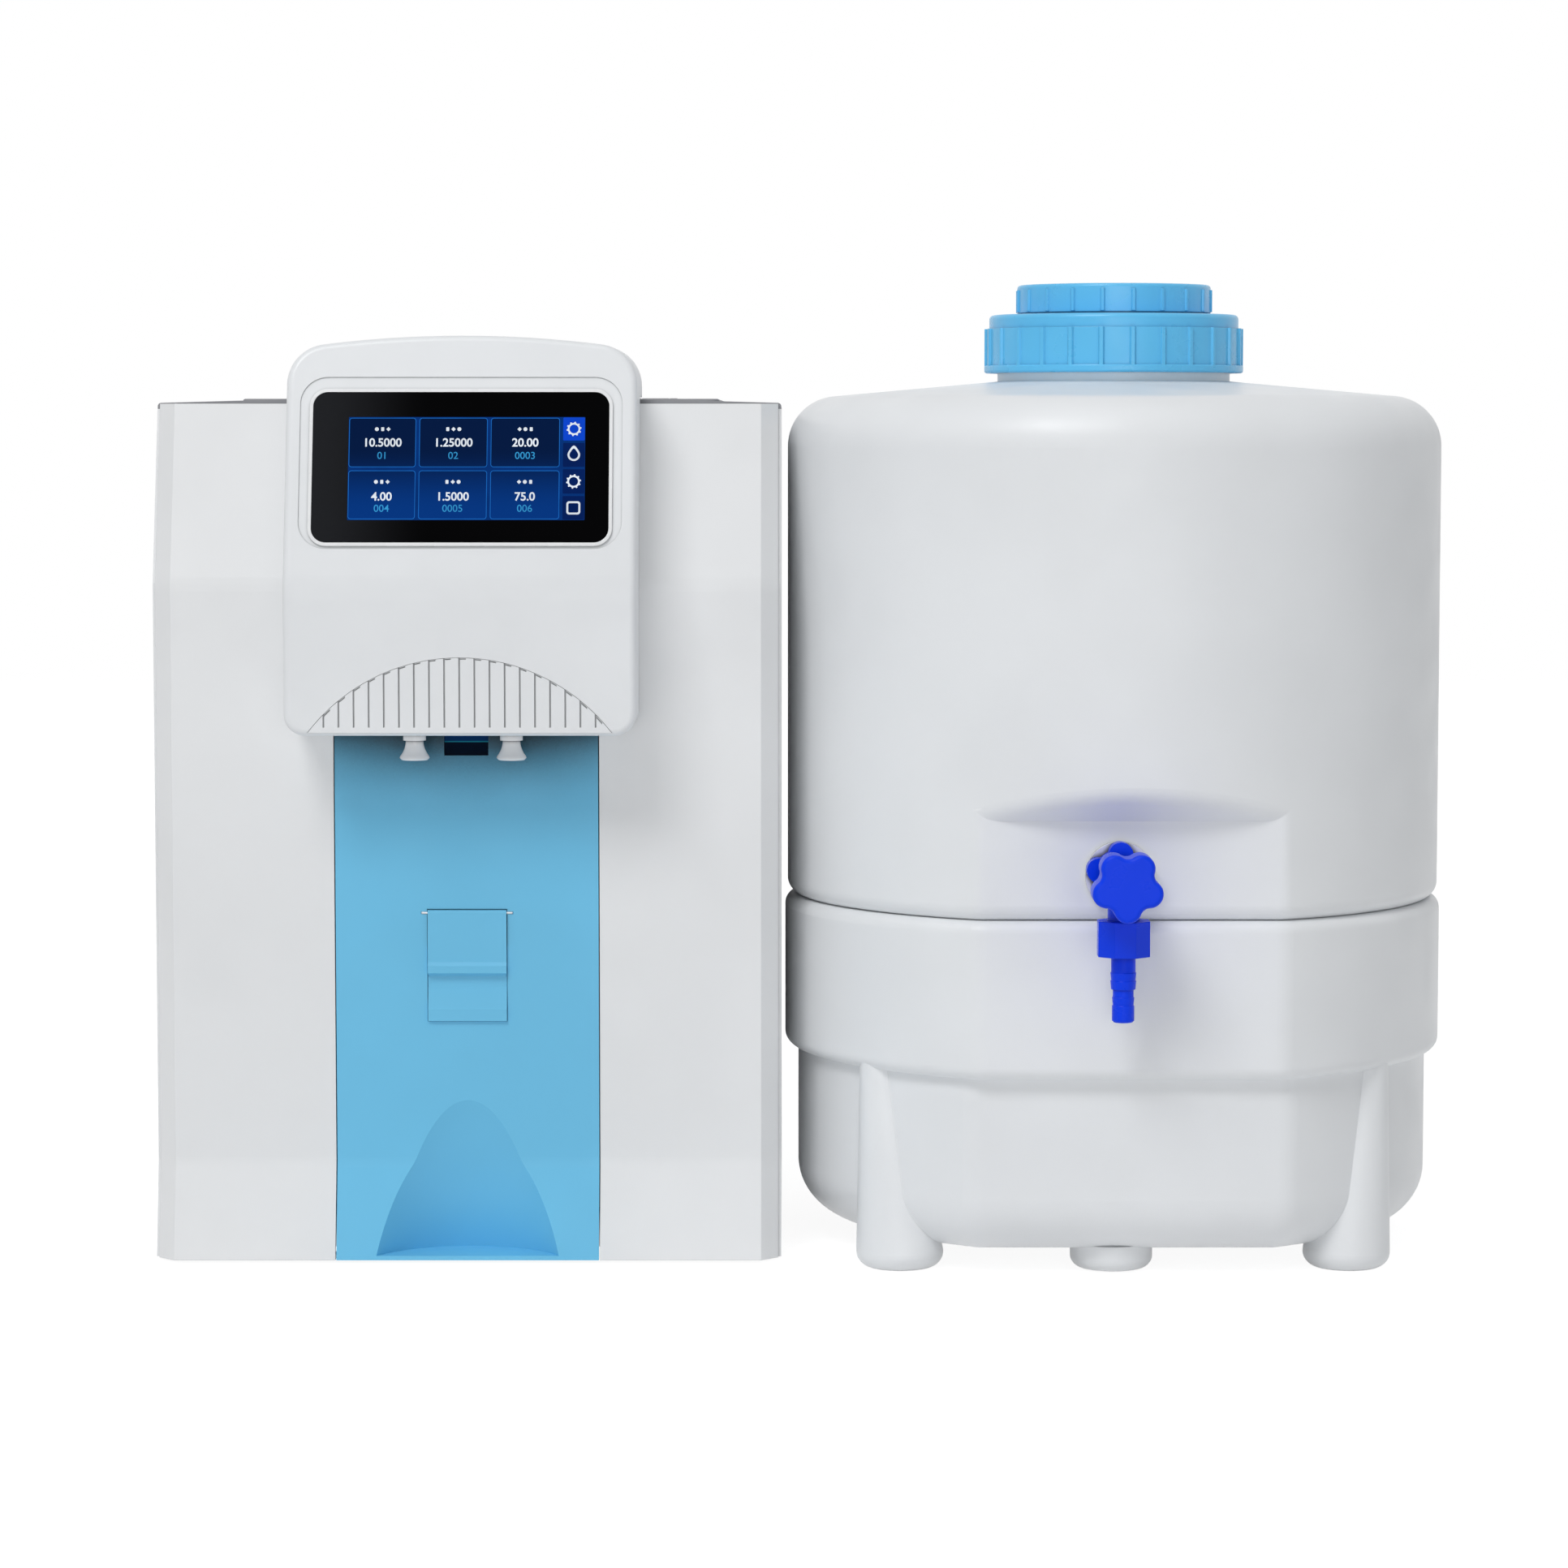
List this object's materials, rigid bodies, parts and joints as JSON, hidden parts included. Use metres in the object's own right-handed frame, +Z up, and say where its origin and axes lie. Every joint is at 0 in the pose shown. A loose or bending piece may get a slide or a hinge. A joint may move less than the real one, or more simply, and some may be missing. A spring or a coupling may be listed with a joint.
{
  "type": "ultrapure water system",
  "caption": "Bench-top ultrapure water unit with a touch screen head, a blue front panel and two outlets, beside its round storage tank with a tap.",
  "frame": {"origin": "centre of the object's box, on the floor plane that the feet and the legs rest on", "axes": "+Z up, -Y the front with the screen and the tap, +X to the right where the tank stands"},
  "size_m": [0.7654, 0.611, 0.574],
  "materials": {
    "unit_white": "satin",
    "cover_white": "satin",
    "cover_grey": "satin",
    "panel_blue": "satin",
    "glass_black": "polished",
    "window_dark": "polished",
    "bezel_silver": "satin",
    "nozzle_white": "polished",
    "steel": "brushed",
    "rear_paint": "satin",
    "rubber_black": "matt",
    "seal_rubber": "matt",
    "cartridge_white": "matt",
    "coupler_blue": "matt",
    "pump_black": "matt",
    "inner_grey": "matt",
    "supply_metal": "satin",
    "board_green": "satin",
    "lamp_quartz": "clear",
    "tube_clear": "satin",
    "inlet_black": "matt",
    "tank_white": "satin",
    "cap_blue": "satin",
    "tap_blue": "satin",
    "float_white": "matt"
  },
  "bodies": {
    "unit_and_tank": {"base_tray": "steel", "booster_pump": "pump_black", "bulkhead_fittings": "inner_grey", "cartridge_couplers": "coupler_blue", "centre_panel": "panel_blue", "circulation_pump": "pump_black", "conductivity_cells": "inner_grey", "control_board": "board_green", "dispense_valves": "pump_black", "display_module": "inner_grey", "final_filter": "cartridge_white", "fluted_insert": "unit_white", "front_fascia": "unit_white", "head_front_shell": "unit_white", "head_rear_shell": "unit_white", "hinge_pins": "steel", "hose_barb": "tap_blue", "inner_frame": "steel", "inner_tubes": "tube_clear", "left_nozzle": "nozzle_white", "left_side_cover": "cover_white", "level_rod": "steel", "membrane_housing": "cartridge_white", "panel_screws": "steel", "polishing_cartridge": "cartridge_white", "port_cap": "coupler_blue", "power_inlet": "inlet_black", "power_supply": "supply_metal", "pretreatment_cartridge": "cartridge_white", "rear_panel": "rear_paint", "right_nozzle": "nozzle_white", "right_side_cover": "cover_white", "rubber_feet": "rubber_black", "screen_bezel": "bezel_silver", "switch_frame": "inlet_black", "tank_fittings": "inner_grey", "tank_stand": "tank_white", "tank_vessel": "tank_white", "tap_back_nut": "tap_blue", "tap_body": "tap_blue", "tap_fixing_nut": "tap_blue", "tap_washer": "nozzle_white", "top_cover": "cover_grey", "touch_glass": "glass_black", "ultraviolet_chamber": "steel", "ultraviolet_lamp": "lamp_quartz", "union_nut": "tap_blue", "valve_manifold": "pump_black", "vessel_neck": "tank_white", "window_insert": "window_dark"},
    "lid": {"top_lid": "cover_grey"},
    "flap": {"service_flap": "panel_blue"},
    "rocker": {"power_switch": "inlet_black"},
    "cap_seal": {"big_cap_seal": "seal_rubber"},
    "cap": {"big_cap": "cap_blue"},
    "small_seal": {"small_cap_seal": "seal_rubber"},
    "small_lid": {"small_cap": "cap_blue"},
    "valve": {"tap_plunger": "tap_blue"},
    "knob": {"tap_knob": "tap_blue"},
    "float": {"level_float": "float_white"}
  },
  "joints": [
    {"name": "top_lid_hinge", "type": "hinge", "parent": "unit_and_tank", "child": "lid", "pos_m": [-0.1987, 0.2405, 0.505], "axis": [-1, 0, 0], "range_deg": [0, 85]},
    {"name": "service_flap_hinge", "type": "hinge", "parent": "unit_and_tank", "child": "flap", "pos_m": [-0.1987, -0.1593, 0.2056], "axis": [-1, 0, 0], "range_deg": [0, 85]},
    {"name": "power_switch_rock", "type": "hinge", "parent": "unit_and_tank", "child": "rocker", "pos_m": [-0.0747, 0.2825, 0.1045], "axis": [1, 0, 0], "range_deg": [-8, 8]},
    {"name": "big_cap_lift", "type": "slide", "parent": "unit_and_tank", "child": "cap_seal", "axis": [0, 0, 1], "range_m": [0, 0.008]},
    {"name": "big_cap_turn", "type": "hinge", "parent": "cap_seal", "child": "cap", "pos_m": [0.1852, -0.0595, 0.5215], "axis": [0, 0, 1], "range_deg": [0, 720]},
    {"name": "small_cap_lift", "type": "slide", "parent": "cap", "child": "small_seal", "axis": [0, 0, 1], "range_m": [0, 0.008]},
    {"name": "small_cap_turn", "type": "hinge", "parent": "small_seal", "child": "small_lid", "pos_m": [0.1852, -0.0595, 0.5574], "axis": [0, 0, 1], "range_deg": [0, 720]},
    {"name": "tap_valve_lift", "type": "slide", "parent": "unit_and_tank", "child": "valve", "axis": [0, -1, 0], "range_m": [0, 0.00375]},
    {"name": "tap_knob_turn", "type": "hinge", "parent": "valve", "child": "knob", "pos_m": [0.1777, -0.3055, 0.235], "axis": [0, -1, 0], "range_deg": [0, 450]},
    {"name": "level_float_slide", "type": "slide", "parent": "unit_and_tank", "child": "float", "axis": [0, 0, 1], "range_m": [0, 0.2493]}
  ],
  "couplings": [
    {"joint": "big_cap_lift", "follows": "big_cap_turn", "m_per_rad": 0.00063662},
    {"joint": "small_cap_lift", "follows": "small_cap_turn", "m_per_rad": 0.00063662},
    {"joint": "tap_valve_lift", "follows": "tap_knob_turn", "m_per_rad": 0.00047746}
  ]
}
